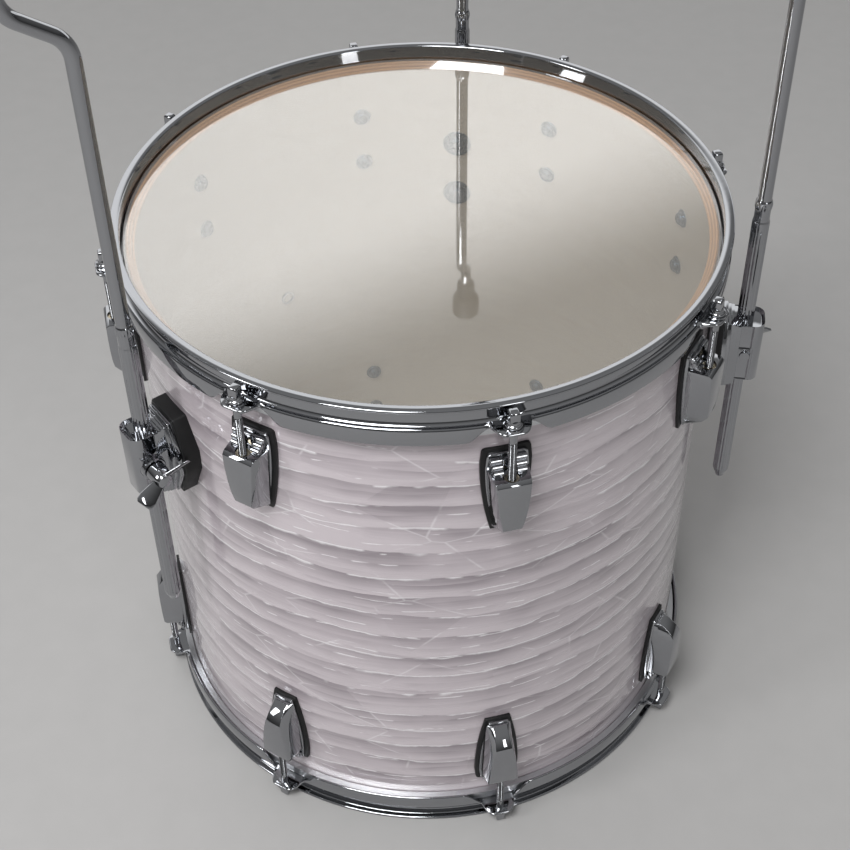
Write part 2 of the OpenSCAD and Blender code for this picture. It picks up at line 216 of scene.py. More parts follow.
class Shader:
    # a short way to lay nodes and join them
    def __init__(self, name):
        self.material = bpy.data.materials.new(name)
        self.material.use_nodes = True
        self.tree = self.material.node_tree
        self.surface = self.tree.nodes["Principled BSDF"]
        self.output = self.tree.nodes["Material Output"]

    def add(self, kind, inputs=None, **settings):
        node = self.tree.nodes.new(kind)
        for key, value in settings.items():
            setattr(node, key, value)
        for key, value in (inputs or {}).items():
            self.put(node.inputs[key], value)
        return node

    def put(self, socket, value):
        if hasattr(value, "is_output"):
            self.tree.links.new(value, socket)
        else:
            socket.default_value = value

    def set(self, **values):
        for key, value in values.items():
            self.put(self.surface.inputs[key.replace("_", " ")], value)

    def maths(self, operation, a, b=0.0, c=0.0):
        node = self.add("ShaderNodeMath", {0: a, 1: b, 2: c}, operation=operation)
        return node.outputs[0]

    def objectPoint(self):
        return self.add("ShaderNodeTexCoord").outputs["Object"]

    def noise(self, vector, scale, detail, rough=0.5):
        return self.add("ShaderNodeTexNoise", {
            "Vector": vector, "Scale": scale, "Detail": detail, "Roughness": rough,
        }).outputs["Fac"]

    def ramp(self, value, stops):
        node = self.add("ShaderNodeValToRGB", {"Fac": value})
        while len(node.color_ramp.elements) < len(stops):
            node.color_ramp.elements.new(0.5)
        for element, (place, colour) in zip(node.color_ramp.elements, stops):
            element.position = place
            element.color = (*colour, 1)
        return node.outputs["Color"]

    def levels(self, value, low, high, toLow=0.0, toHigh=1.0):
        return self.add("ShaderNodeMapRange", {
            "Value": value, "From Min": low, "From Max": high, "To Min": toLow, "To Max": toHigh,
        }).outputs["Result"]

    def mixed(self, fac, a, b):
        node = self.add("ShaderNodeMix", data_type="RGBA")
        self.put(node.inputs["Factor"], fac)
        self.put(node.inputs[6], a if hasattr(a, "is_output") else (*a, 1))
        self.put(node.inputs[7], b if hasattr(b, "is_output") else (*b, 1))
        return node.outputs[2]

    def combined(self, x=0.0, y=0.0, z=0.0):
        return self.add("ShaderNodeCombineXYZ", {0: x, 1: y, 2: z}).outputs[0]

    def bump(self, height, strength, distance):
        return self.add("ShaderNodeBump", {
            "Height": height, "Strength": strength, "Distance": distance,
        }).outputs["Normal"]


# finishes

# the chrome colour is darker than real chrome: painted shade that stands in for the dark room reflected in
# it
chromeLook = {
    "colour": (0.35, 0.358, 0.375), "speckShade": 0.72,
    "polish": 0.035, "haze": 0.09, "legPolish": 0.06, "legHaze": 0.13,
}


def chromeFinish(name, polish, haze):
    s = Shader(name)
    point = s.objectPoint()
    smears = s.noise(point, 38.0, 5.0, 0.65)
    specks = s.noise(point, 900.0, 2.0, 0.5)
    # this darkened tone is painted shade for dark reflected surroundings, used by every chrome part and
    # the legs
    tone = chromeLook["colour"]
    shade = [c * chromeLook["speckShade"] for c in tone]
    s.set(Metallic=1.0, Roughness=s.levels(smears, 0.45, 0.8, polish, haze),
          Base_Color=s.mixed(s.levels(specks, 0.62, 0.8, 0.0, 0.25), tone, shade))
    s.set(Normal=s.bump(s.noise(point, 120.0, 2.0), 0.03, 0.0004))
    return s.material


wrapLook = {  # row, sway and fineRow in millimetres
    "light": (0.65, 0.588, 0.622), "mid": (0.49, 0.435, 0.468), "dark": (0.31, 0.27, 0.296),
    "sliver": (0.98, 0.96, 0.98), "row": 21.0, "sway": 5.5, "fineRow": 9.5,
    "slant": math.radians(58), "flake": (0.016, 0.03, 1.0), "crack": 0.42, "bright": 0.92,
}


def pearlWrap():
    # shell flakes lie in long wavy rows round the drum: dark under a bright torn edge, then paler downward
    s = Shader("pearlWrap")
    axes = s.add("ShaderNodeSeparateXYZ", {0: s.objectPoint()})
    angle = s.maths("ARCTAN2", axes.outputs[1], axes.outputs[0])
    inMillimetres = 1000.0
    around = s.maths("MULTIPLY", angle, drum["wrapR"] * inMillimetres)
    up = s.maths("MULTIPLY", axes.outputs[2], inMillimetres)

    def field(x, y, seed):
        # a point of the unrolled sheet, scaled, for a noise or a cell pattern
        return s.combined(s.maths("MULTIPLY", around, x), s.maths("MULTIPLY", up, y), seed)

    def rows(period, sway, seed):
        small = sway * 0.22
        wave = s.levels(s.noise(field(0.0075, 0.014, seed), 1.0, 1.0), 0.25, 0.75, -sway, sway)
        ripple = s.levels(s.noise(field(0.03, 0.05, seed + 5), 1.0, 2.0), 0.25, 0.75, -small, small)
        height = s.maths("ADD", up, s.maths("ADD", wave, ripple))
        count = s.maths("MULTIPLY", height, 1 / period)
        row = s.maths("FLOOR", count)
        within = s.maths("FRACT", count)
        rowSeed = s.maths("MULTIPLY_ADD", row, 7.31, seed)
        return within, rowSeed

    def along(scale, rowSeed, detail):
        place = s.combined(s.maths("MULTIPLY", around, scale), rowSeed, 0.5)
        return s.noise(place, 1.0, detail)

    def torn(within, rowSeed, width, piece, low):
        # broken bright line along the top of a row
        thick = s.levels(along(0.09, rowSeed, 2.0), 0.3, 0.7, width * 0.4, width * 1.5)
        line = s.levels(s.maths("SUBTRACT", 1.0, within), 0.0, thick, 1.0, 0.0)
        where = s.levels(along(piece, s.maths("ADD", rowSeed, 3.7), 2.0), low, low + 0.05)
        return s.maths("MULTIPLY", s.maths("POWER", line, 0.7), where)

    big, bigSeed = rows(wrapLook["row"], wrapLook["sway"], 3.0)
    fine, fineSeed = rows(wrapLook["fineRow"], wrapLook["sway"] * 0.7, 41.0)
    depth = s.levels(along(0.011, bigSeed, 2.0), 0.32, 0.66, 0.25, 1.0)
    shade = s.maths("MULTIPLY", s.levels(big, 0.12, 0.93), depth)
    fineDepth = s.levels(along(0.018, fineSeed, 2.0), 0.40, 0.68, 0.0, 0.42)
    fineShade = s.maths("MULTIPLY", s.levels(fine, 0.2, 0.98), fineDepth)
    grain = s.levels(s.noise(field(0.02, 0.55, 21.0), 1.0, 4.0, 0.6), 0.3, 0.7, -0.10, 0.10)
    # slanting flakes that lie under the rows
    slant = s.add("ShaderNodeMapping", {
        "Vector": field(1.0, 1.0, 0.0), "Rotation": (0, 0, wrapLook["slant"]), "Scale": wrapLook["flake"],
    }).outputs[0]
    flakes = s.add("ShaderNodeTexVoronoi", {"Vector": slant, "Scale": 1.0}, voronoi_dimensions="2D")
    flakeEdge = s.add("ShaderNodeTexVoronoi", {"Vector": slant, "Scale": 1.0},
                      voronoi_dimensions="2D", feature="DISTANCE_TO_EDGE")
    flakeTone = s.add("ShaderNodeSeparateColor", {0: flakes.outputs["Color"]}).outputs[0]
    total = s.maths("ADD", s.maths("ADD", shade, fineShade), grain)
    total = s.maths("ADD", total, s.levels(flakeTone, 0.0, 1.0, -0.10, 0.12))
    body = s.ramp(total, [(0.05, wrapLook["light"]), (0.5, wrapLook["mid"]), (1.0, wrapLook["dark"])])
    crack = s.levels(flakeEdge.outputs["Distance"], 0.0, 0.022, 1.0, 0.0)
    crackWhere = s.levels(s.noise(field(0.02, 0.03, 61.0), 1.0, 2.0), 0.50, 0.58)
    bigLines = torn(big, bigSeed, 0.085, 0.026, 0.46)
    fineLines = torn(fine, fineSeed, 0.12, 0.04, 0.56)
    bright = s.maths("MAXIMUM", bigLines, fineLines)
    cracks = s.maths("MULTIPLY", s.maths("MULTIPLY", crack, crackWhere), wrapLook["crack"])
    bright = s.maths("MAXIMUM", bright, cracks)
    colour = s.mixed(s.maths("MULTIPLY", bright, wrapLook["bright"]), body, wrapLook["sliver"])
    s.set(Base_Color=colour, Roughness=s.levels(total, 0.0, 1.0, 0.26, 0.36),
          Coat_Weight=1.0, Coat_Roughness=0.04, Coat_IOR=1.5)
    s.set(Normal=s.bump(s.noise(field(0.006, 0.012, 5.0), 1.0, 2.0), 0.05, 0.002))
    return s.material


headLook = {
    "haze": 0.07, "milk": (0.80, 0.78, 0.73), "tint": (0.985, 0.98, 0.97, 1),
    "mirror": 0.015, "edgeMirror": 0.5,
}


def clearHead():
    # thin clear film: mostly open, with a little haze and a clean mirror at low angles
    s = Shader("clearHeadFilm")
    point = s.objectPoint()
    scuffs = s.noise(point, 60.0, 5.0, 0.7)
    bend = s.add("ShaderNodeLayerWeight", {"Blend": 0.32}).outputs["Fresnel"]
    see = s.add("ShaderNodeBsdfTransparent", {"Color": headLook["tint"]})
    gloss = s.add("ShaderNodeBsdfAnisotropic", {
        "Color": (1, 1, 1, 1), "Roughness": s.levels(scuffs, 0.4, 0.8, 0.02, 0.06),
    })
    milk = s.add("ShaderNodeBsdfDiffuse", {"Color": (*headLook["milk"], 1)})
    haze = s.add("ShaderNodeMixShader", {
        0: s.levels(scuffs, 0.35, 0.75, headLook["haze"] * 0.9, headLook["haze"] * 1.15),
        1: see.outputs[0], 2: milk.outputs[0],
    })
    film = s.add("ShaderNodeMixShader", {
        0: s.levels(bend, 0.0, 1.0, headLook["mirror"], headLook["edgeMirror"]),
        1: haze.outputs[0], 2: gloss.outputs[0],
    })
    s.put(s.output.inputs["Surface"], film.outputs[0])
    s.tree.nodes.remove(s.surface)
    return s.material


coatedLook = {"white": (0.86, 0.855, 0.835), "worn": (0.77, 0.76, 0.735)}


def coatedHead():
    s = Shader("coatedHead")
    point = s.objectPoint()
    grain = s.noise(point, 2600.0, 2.0, 0.6)
    marks = s.noise(point, 14.0, 4.0, 0.6)
    worn = s.levels(marks, 0.5, 0.75, 0.0, 0.5)
    s.set(Base_Color=s.mixed(worn, coatedLook["white"], coatedLook["worn"]),
          Roughness=0.62, Normal=s.bump(grain, 0.35, 0.00006))
    return s.material


mapleLook = {
    "inside": (0.60, 0.545, 0.465), "edge": (0.74, 0.43, 0.225), "plyCount": 7,
    "edgeFrom": 0.0056, "edgeTo": 0.0044,
}


def mapleShell():
    # pale sealed maple inside, warm bare plies where the bearing edge is cut
    s = Shader("mapleShell")
    point = s.objectPoint()
    axes = s.add("ShaderNodeSeparateXYZ", {0: point})
    angle = s.maths("ARCTAN2", axes.outputs[1], axes.outputs[0])
    squares = [s.maths("MULTIPLY", axes.outputs[i], axes.outputs[i]) for i in (0, 1)]
    radius = s.maths("SQRT", s.maths("ADD", squares[0], squares[1]))
    around = s.maths("MULTIPLY", angle, drum["wrapR"])
    board = s.combined(around, s.maths("MULTIPLY", axes.outputs[2], 14.0))
    high = s.maths("MULTIPLY", axes.outputs[2], 260.0)
    strands = s.combined(s.maths("MULTIPLY", around, 6.0), high, 4.0)
    grain = s.noise(board, 12.0, 6.0, 0.62)
    fibre = s.noise(strands, 1.0, 4.0, 0.6)
    tone = mapleLook["inside"]
    figure = [tone[0] * 0.90, tone[1] * 0.86, tone[2] * 0.80]
    inside = s.mixed(s.levels(grain, 0.35, 0.7, 0.0, 0.6), tone, figure)
    inside = s.mixed(s.levels(fibre, 0.5, 0.8, 0.0, 0.25), inside, [c * 0.82 for c in tone])
    inward = s.maths("SUBTRACT", drum["plyR"], radius)
    ply = s.maths("PINGPONG", s.maths("MULTIPLY", inward, mapleLook["plyCount"] / drum["plyT"]), 1.0)
    edge = s.mixed(s.levels(ply, 0.3, 0.7), mapleLook["edge"], [c * 0.66 for c in mapleLook["edge"]])
    middle = (drum["edgeLow"] + drum["edgeHigh"]) / 2
    half = (drum["edgeHigh"] - drum["edgeLow"]) / 2
    away = s.maths("ABSOLUTE", s.maths("SUBTRACT", axes.outputs[2], middle))
    onEdge = s.levels(away, half - mapleLook["edgeFrom"], half - mapleLook["edgeTo"])
    s.set(Base_Color=s.mixed(onEdge, inside, edge), Roughness=0.38,
          Coat_Weight=0.25, Coat_Roughness=0.2, Normal=s.bump(fibre, 0.12, 0.0003))
    return s.material


rubberLook = {"clean": (0.006, 0.006, 0.0065), "dusty": (0.020, 0.0195, 0.019)}


def blackRubber():
    s = Shader("blackRubber")
    point = s.objectPoint()
    grain = s.noise(point, 1400.0, 3.0, 0.6)
    dust = s.noise(point, 55.0, 4.0, 0.6)
    s.set(Base_Color=s.mixed(s.levels(dust, 0.5, 0.8, 0.0, 0.5), rubberLook["clean"], rubberLook["dusty"]),
          Specular_IOR_Level=0.35, Roughness=s.levels(dust, 0.3, 0.8, 0.40, 0.62),
          Normal=s.bump(grain, 0.3, 0.00012))
    return s.material


zincLook = {"dull": (0.045, 0.068, 0.09), "bright": (0.11, 0.145, 0.18)}


def zincScrew():
    s = Shader("zincScrew")
    point = s.objectPoint()
    cloud = s.noise(point, 260.0, 3.0, 0.6)
    s.set(Metallic=0.9, Roughness=s.levels(cloud, 0.3, 0.7, 0.22, 0.40),
          Base_Color=s.mixed(s.levels(cloud, 0.4, 0.7), zincLook["dull"], zincLook["bright"]))
    return s.material


brassLook = {"colour": (0.50, 0.44, 0.33, 1), "polish": 0.28}


def turnedBrass():
    s = Shader("turnedBrass")
    point = s.objectPoint()
    s.set(Metallic=1.0, Roughness=brassLook["polish"], Base_Color=brassLook["colour"],
          Normal=s.bump(s.noise(point, 1800.0, 2.0), 0.15, 0.00005))
    return s.material


aluminiumLook = {"colour": (0.62, 0.63, 0.65, 1), "polish": 0.25, "drawn": 0.42}


def drawnAluminium():
    s = Shader("drawnAluminium")
    point = s.objectPoint()
    axes = s.add("ShaderNodeSeparateXYZ", {0: point})
    lines = s.noise(s.combined(z=s.maths("MULTIPLY", axes.outputs[2], 9000.0)), 1.0, 2.0)
    s.set(Metallic=1.0, Base_Color=aluminiumLook["colour"],
          Roughness=s.levels(lines, 0.3, 0.7, aluminiumLook["polish"], aluminiumLook["drawn"]))
    return s.material


chrome = chromeFinish("polishedChrome", chromeLook["polish"], chromeLook["haze"])
legChrome = chromeFinish("legChrome", chromeLook["legPolish"], chromeLook["legHaze"])
pearl = pearlWrap()
film = clearHead()
coated = coatedHead()
maple = mapleShell()
rubber = blackRubber()
zinc = zincScrew()
brass = turnedBrass()
aluminium = drawnAluminium()
print("finishes ready")


# geometry nodes: what repeats round the drum

def ringTree():
    # copies one piece round the drum in equal steps, the first at a given angle
    tree = bpy.data.node_groups.new("piecesRoundDrum", "GeometryNodeTree")
    face = tree.interface
    face.new_socket("Geometry", in_out="INPUT", socket_type="NodeSocketGeometry")
    face.new_socket("Geometry", in_out="OUTPUT", socket_type="NodeSocketGeometry")
    piece = face.new_socket("Piece", in_out="INPUT", socket_type="NodeSocketObject")
    count = face.new_socket("Count", in_out="INPUT", socket_type="NodeSocketInt")
    first = face.new_socket("First Angle", in_out="INPUT", socket_type="NodeSocketFloat")
    finish = face.new_socket("Finish", in_out="INPUT", socket_type="NodeSocketMaterial")
    ids = {"Piece": piece.identifier, "Count": count.identifier, "First Angle": first.identifier,
           "Finish": finish.identifier}
    add, link = tree.nodes.new, tree.links.new
    start, end = add("NodeGroupInput"), add("NodeGroupOutput")
    points = add("GeometryNodePoints")
    link(start.outputs["Count"], points.inputs["Count"])
    info = add("GeometryNodeObjectInfo")
    link(start.outputs["Piece"], info.inputs["Object"])
    index = add("GeometryNodeInputIndex")
    share = add("ShaderNodeMath")
    share.operation = "DIVIDE"
    link(index.outputs[0], share.inputs[0])
    link(start.outputs["Count"], share.inputs[1])
    turn = add("ShaderNodeMath")
    turn.operation = "MULTIPLY_ADD"
    turn.inputs[1].default_value = 2 * math.pi
    link(share.outputs[0], turn.inputs[0])
    link(start.outputs["First Angle"], turn.inputs[2])
    spin = add("ShaderNodeCombineXYZ")
    link(turn.outputs[0], spin.inputs["Z"])
    copies = add("GeometryNodeInstanceOnPoints")
    link(points.outputs[0], copies.inputs["Points"])
    link(info.outputs["Geometry"], copies.inputs["Instance"])
    link(spin.outputs[0], copies.inputs["Rotation"])
    real = add("GeometryNodeRealizeInstances")
    link(copies.outputs[0], real.inputs[0])
    paint = add("GeometryNodeSetMaterial")
    link(real.outputs[0], paint.inputs["Geometry"])
    link(start.outputs["Finish"], paint.inputs["Material"])
    link(paint.outputs[0], end.inputs[0])
    return tree, ids


roundDrum, roundDrumIds = ringTree()


def ringOf(name, mesh, finish, stands, smooth=30):
    # runs the tree once for each lug's place and keeps its result as one plain mesh
    source = bpy.data.objects.new(name + "Source", mesh)
    bpy.context.scene.collection.objects.link(source)
    holder = bpy.data.objects.new(name + "Holder", bpy.data.meshes.new(name + "Holder"))
    bpy.context.scene.collection.objects.link(holder)
    step = holder.modifiers.new("ring", "NODES")
    step.node_group = roundDrum
    step[roundDrumIds["Piece"]] = source
    step[roundDrumIds["Count"]] = lugCount
    step[roundDrumIds["First Angle"]] = lugAngles[0]
    step[roundDrumIds["Finish"]] = finish
    result = plainMesh(holder)
    holder.modifiers.remove(step)
    bpy.data.objects.remove(holder)
    bpy.data.objects.remove(source)
    result.name = name
    return newPiece(name, result, "drum", stands, finish, smooth)


def turnOver(mesh):
    # takes a piece from the upper head's side to the lower head's side
    mesh.transform(Matrix.Translation((0, 0, drum["topZ"])) @ Matrix.Scale(-1, 4, (0, 0, 1)))
    mesh.flip_normals()
    return mesh


# shell and wrap

shellLook = {"round": 0.0015, "steps": 256}


def makeShell():
    low, high = drum["edgeLow"], drum["edgeHigh"]
    out, inn = drum["plyR"], drum["plyR"] - drum["plyT"]
    soft = shellLook["round"]
    edgeR = out - soft
    half = []
    for k in range(5):
        a = math.radians(90 * k / 4)
        half.append((edgeR + soft * math.sin(a), -soft + soft * math.cos(a)))
    profile = [(inn, high - (edgeR - inn))] + [(r, high + z) for r, z in half]
    profile += [(r, low - z) for r, z in reversed(half)] + [(inn, low + edgeR - inn)]
    mesh = turned("mapleShell", profile, shellLook["steps"])
    newPiece("mapleShell", mesh, "drum", ["shell"], maple, 20)


sheetLook = {"thick": 0.00075, "lap": 0.0006, "seam": math.radians(135), "steps": 320}


def makeWrap():
    # one sheet bent round the shell, its end raised where it laps over its beginning
    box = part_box("shell_wrap")
    low, high, out = box[0].z, box[1].z, drum["wrapR"]
    inn = out - sheetLook["thick"]
    verts, faces = [], []
    steps = sheetLook["steps"]
    for s in range(steps + 1):
        a = sheetLook["seam"] + 2 * math.pi * s / steps
        lap = sheetLook["lap"] if s == steps else 0.0
        for r, z in ((inn, low), (out + lap, low), (out + lap, high), (inn, high)):
            verts.append((r * math.cos(a), r * math.sin(a), z))
    for s in range(steps):
        for i in range(4):
            j = (i + 1) % 4
            faces.append((4 * s + i, 4 * s + j, 4 * s + 4 + j, 4 * s + 4 + i))
    faces += [(0, 1, 2, 3), tuple(4 * steps + i for i in (3, 2, 1, 0))]
    mesh = meshFrom("pearlSheet", verts, faces)
    newPiece("pearlSheet", mesh, "drum", ["shell_wrap"], pearl, 40)


makeShell()
makeWrap()

ventLook = {"hole": 0.0045, "flange": 0.0095, "proud": 0.0017, "wall": 0.0013, "roll": 0.0008}


def makeVent():
    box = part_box("vent_grommet")
    centre = (box[0] + box[1]) / 2
    a = math.atan2(centre.y, centre.x)
    hole, flange, proud = ventLook["hole"], ventLook["flange"], ventLook["proud"]
    tube, roll = hole + ventLook["wall"], ventLook["roll"]
    back, front = drum["plyR"] - drum["plyT"] - 0.0015, drum["wrapR"]
    profile = [(hole, back), (hole, front + proud * 0.7)]
    for k in range(7):
        b = math.pi * k / 6
        profile.append((hole + roll - roll * math.cos(b), front + proud * 0.7 + roll * math.sin(b)))
    profile += [(flange * 0.8, front + proud * 0.75), (flange * 0.96, front + proud * 0.35),
                (flange, front), (flange, front - 0.0005), (tube, front - 0.0005), (tube, back)]
    place = (Matrix.Rotation(a, 4, "Z") @ Matrix.Translation((0, 0, centre.z))
             @ Matrix.Rotation(math.pi / 2, 4, "Y"))
    mesh = turned("ventGrommet", profile, 48, place)
    newPiece("ventGrommet", mesh, "drum", ["vent_grommet"], chrome, 40)


makeVent()
print("shell, wrap and vent made")

# hoops

hoopLook = {
    "wall": 0.0022, "lip": 0.0066, "cove": 0.0036, "shoulder": 0.017, "depth": 0.027,
    "earReach": 0.0065, "earHalf": 0.0105, "earTop": 0.0136, "notch": 0.013, "notchEnd": 0.027,
    "inset": 0.0066, "lipRoll": 0.0011, "earFade": 0.0065, "tipFlat": 0.005, "tipRound": 0.0058,
    "earSpan": 0.032, "earSteps": 60, "plainSteps": 22,
}


def hoopSection(t):
    # the (radius, depth) loop of a hoop's section, t metres along the rim from an ear's middle
    h = hoopLook
    inn = drum["skirtR"] - h["inset"]
    out = inn + h["wall"]
    loop = [(inn, 0.0012), (inn + 0.0003, 0.0004), (inn + 0.0012, 0.0)]
    tip, roll = inn + h["lip"], h["lipRoll"]
    for k in range(7):
        a = math.pi * k / 6
        loop.append((tip - roll + roll * math.sin(a), roll - roll * math.cos(a)))
    loop += [(out + 0.0008, 0.0022), (out + 0.0002, 0.0025), (out, 0.0032)]
    coveR, coveD = out + h["cove"], h["shoulder"] - h["wall"] - h["cove"]
    for k in range(9):
        a = math.radians(90 * k / 8)
        loop.append((coveR - h["cove"] * math.cos(a), coveD + h["cove"] * math.sin(a)))
    # the flange that leaves the shoulder: down as a skirt, or out as an ear
    ear = 1 - smoothStep(h["earHalf"], h["earHalf"] + h["earFade"], t)
    bend = math.radians(90) * (1 - ear)
    thick = h["wall"]
    rootR = drum["skirtR"] - thick
    rootD = h["shoulder"] - (h["shoulder"] - h["earTop"] - thick) * ear
    skirt = (h["depth"] - h["shoulder"]) * smoothStep(h["notch"], h["notchEnd"], t)
    reach = drum["rodR"] + h["earReach"] - rootR
    tipCut = 0.0 if t < h["tipFlat"] else (t - h["tipFlat"]) ** 2 / h["tipRound"]
    outline = max(reach - tipCut, 0.0035)
    length = blendOf(skirt + 0.0012, outline, ear)
    along = (math.cos(bend), math.sin(bend))
    norm = (math.sin(bend), -math.cos(bend))
    for k in range(5):
        a = bend * k / 4
        loop.append((rootR + thick * math.sin(a), rootD - thick * math.cos(a)))
    for k in range(6):
        a = math.pi * k / 5
        side = thick / 2 * (1 + math.cos(a))
        ahead = length + thick / 2 * math.sin(a) - thick / 2
        loop.append((rootR + norm[0] * side + along[0] * ahead, rootD + norm[1] * side + along[1] * ahead))
    loop.append((rootR + along[0] * 0.0008, rootD + along[1] * 0.0008))
    loop.append((rootR - 0.0010, rootD))
    loop += [(inn + 0.0008, h["shoulder"]), (inn, h["shoulder"] - 0.0006)]
    return loop


def hoopMesh(name):
    # close steps across every ear, wide ones between
    stations = []
    between = 2 * math.pi / lugCount
    dense, sparse = hoopLook["earSteps"], hoopLook["plainSteps"]
    span = hoopLook["earSpan"] / drum["skirtR"]
    for a in lugAngles:
        for k in range(dense):
            stations.append((a - span + 2 * span * k / dense, a))
        for k in range(sparse):
            stations.append((a + span + (between - 2 * span) * k / sparse, None))
    verts, faces = [], []
    farAway = 1.0
    count = len(hoopSection(farAway))
    for place, ear in stations:
        t = abs(place - ear) * drum["skirtR"] if ear is not None else farAway
        for r, d in hoopSection(t):
            verts.append((r * math.cos(place), r * math.sin(place), drum["topZ"] - d))
    total = len(stations)
    for s in range(total):
        here, after = s * count, (s + 1) % total * count
        for i in range(count):
            j = (i + 1) % count
            faces.append((here + i, here + j, after + j, after + i))
    return meshFrom(name, verts, faces)


newPiece("resonantHoop", hoopMesh("resonantHoop"), "drum", ["resonant_hoop"], chrome, 50)
newPiece("batterHoop", turnOver(hoopMesh("batterHoop")), "drum", ["batter_hoop"], chrome, 50)
print("hoops made")

# lugs

lugLook = {
    "long": 0.071, "wide": 0.033, "farWide": 0.0186, "gasket": 0.0019, "tier1": 0.0044, "tier2": 0.0066,
    "noseOut": 0.0204, "noseTop": 0.0210, "noseEnd": 0.020, "bevel": 0.0005,
    "socketR": 0.0048, "socketLow": -0.019, "grooveR": 0.0056, "grooveLow": 0.0185, "grooveIn": 0.0012,
    "ribs": 3, "ribStep": 0.0036, "ribRise": 0.0018,
}


def shieldOutline(inset):
    half, top = lugLook["wide"] / 2 - inset, lugLook["long"] / 2 - inset
    far = lugLook["farWide"] / 2 - inset * 0.8
    side = [(half - 0.0034, top), (half - 0.0018, top - 0.0006), (half - 0.0009, top - 0.0022)]
    for k in range(9):
        u = k / 8
        side.append((blendOf(half, far, u ** 1.9), blendOf(top - 0.012, -top, u)))
    return side + [(-y, z) for y, z in reversed(side)]


def plug(radius, low, x):
    high = 0.03
    profile = [(0.0, low), (radius, low), (radius, high), (0.0, high)]
    return turned("plug", profile, 32, Matrix.Translation((x, 0, 0)))


def noseMesh():
    base = drum["wrapR"] + 0.0035
    out = drum["wrapR"] + lugLook["noseOut"]
    top, end = lugLook["noseTop"], -lugLook["noseEnd"]
    # (height, outer radius, half width at the base, half width outside)
    rows = [(top, out - 0.0021, 0.0134, 0.0112), (top - 0.0022, out, 0.0133, 0.0110),
            (0.008, out + 0.0003, 0.0129, 0.0104), (-0.004, out + 0.0003, 0.0121, 0.0092),
            (-0.013, out + 0.0001, 0.0112, 0.0077), (end, out - 0.0006, 0.0103, 0.0063),
            (end - 0.0052, out - 0.0040, 0.0096, 0.0055), (end - 0.0088, out - 0.0090, 0.0091, 0.0052),
            (end - 0.0113, out - 0.0140, 0.0088, 0.0052)]
    rings = [[(base, -b, z), (x, -o, z), (x, o, z), (base, b, z)] for z, x, b, o in rows]
    mesh = bevelled(loft("nose", rings), lugLook["bevel"], 2, 24)
    socket = plug(lugLook["socketR"], lugLook["socketLow"], drum["rodR"])
    groove = plug(lugLook["grooveR"], lugLook["grooveLow"], drum["rodR"] - lugLook["grooveIn"])
    return cutBy(mesh, [socket, groove])


def lugRibs():
    # round-ended ribs beside the rod, each a little thicker and further out than the one above
    ribs = []
    for k in range(lugLook["ribs"]):
        radius = 0.0022 + 0.0003 * k
        x = drum["wrapR"] + lugLook["tier2"] - 0.0010 + lugLook["ribRise"] * k
        z = lugLook["long"] / 2 - 0.0066 - lugLook["ribStep"] * k
        shorter = 0.0005 * k
        for side in (-1, 1):
            profile = [(0.0, 0.0045), (radius, 0.0045), (radius, 0.0112 - shorter),
                       (radius * 0.75, 0.0118 - shorter), (0.0, 0.0120 - shorter)]
            place = Matrix.Translation((x, 0, z)) @ Matrix.Rotation(-side * math.pi / 2, 4, "X")
            ribs.append(turned("rib", profile, 28, place))
    return ribs


def lugMesh():
    w = drum["wrapR"]
    tier1 = bevelled(slab("tier1", shieldOutline(0.0026), w + 0.0008, w + lugLook["tier1"]), 0.0006, 3)
    tier2 = bevelled(slab("tier2", shieldOutline(0.0054), w + 0.0020, w + lugLook["tier2"]), 0.0006, 3)
    lug = joinMeshes("lug", [tier1, tier2, noseMesh()] + lugRibs())
    lug.transform(Matrix.Translation((0, 0, lugMid)))
    return lug


def lugGasketMesh():
    w = drum["wrapR"]
    mesh = slab("gasket", shieldOutline(0.0), w - 0.0007, w + lugLook["gasket"])
    mesh = bevelled(mesh, 0.0004, 2)
    mesh.transform(Matrix.Translation((0, 0, lugMid)))
    return mesh


names = {side: [f"{side}_lug_{k}" for k in range(1, lugCount + 1)] for side in ("resonant", "batter")}
ringOf("resonantLugs", lugMesh(), chrome, names["resonant"])
ringOf("batterLugs", turnOver(lugMesh()), chrome, names["batter"])
bothGaskets = joinMeshes("bothGaskets", [lugGasketMesh(), turnOver(lugGasketMesh())])
ringOf("lugGaskets", bothGaskets, rubber, ["lug_gaskets"])
print("lugs made")

# tension rods

rodLook = {
    "shaft": 0.00265, "thread": 0.00105, "threadDeep": 0.00042, "long": 0.072, "plain": 0.012,
    "square": 0.003175, "flange": 0.0055, "seat": 0.012, "fade": 0.003,
}


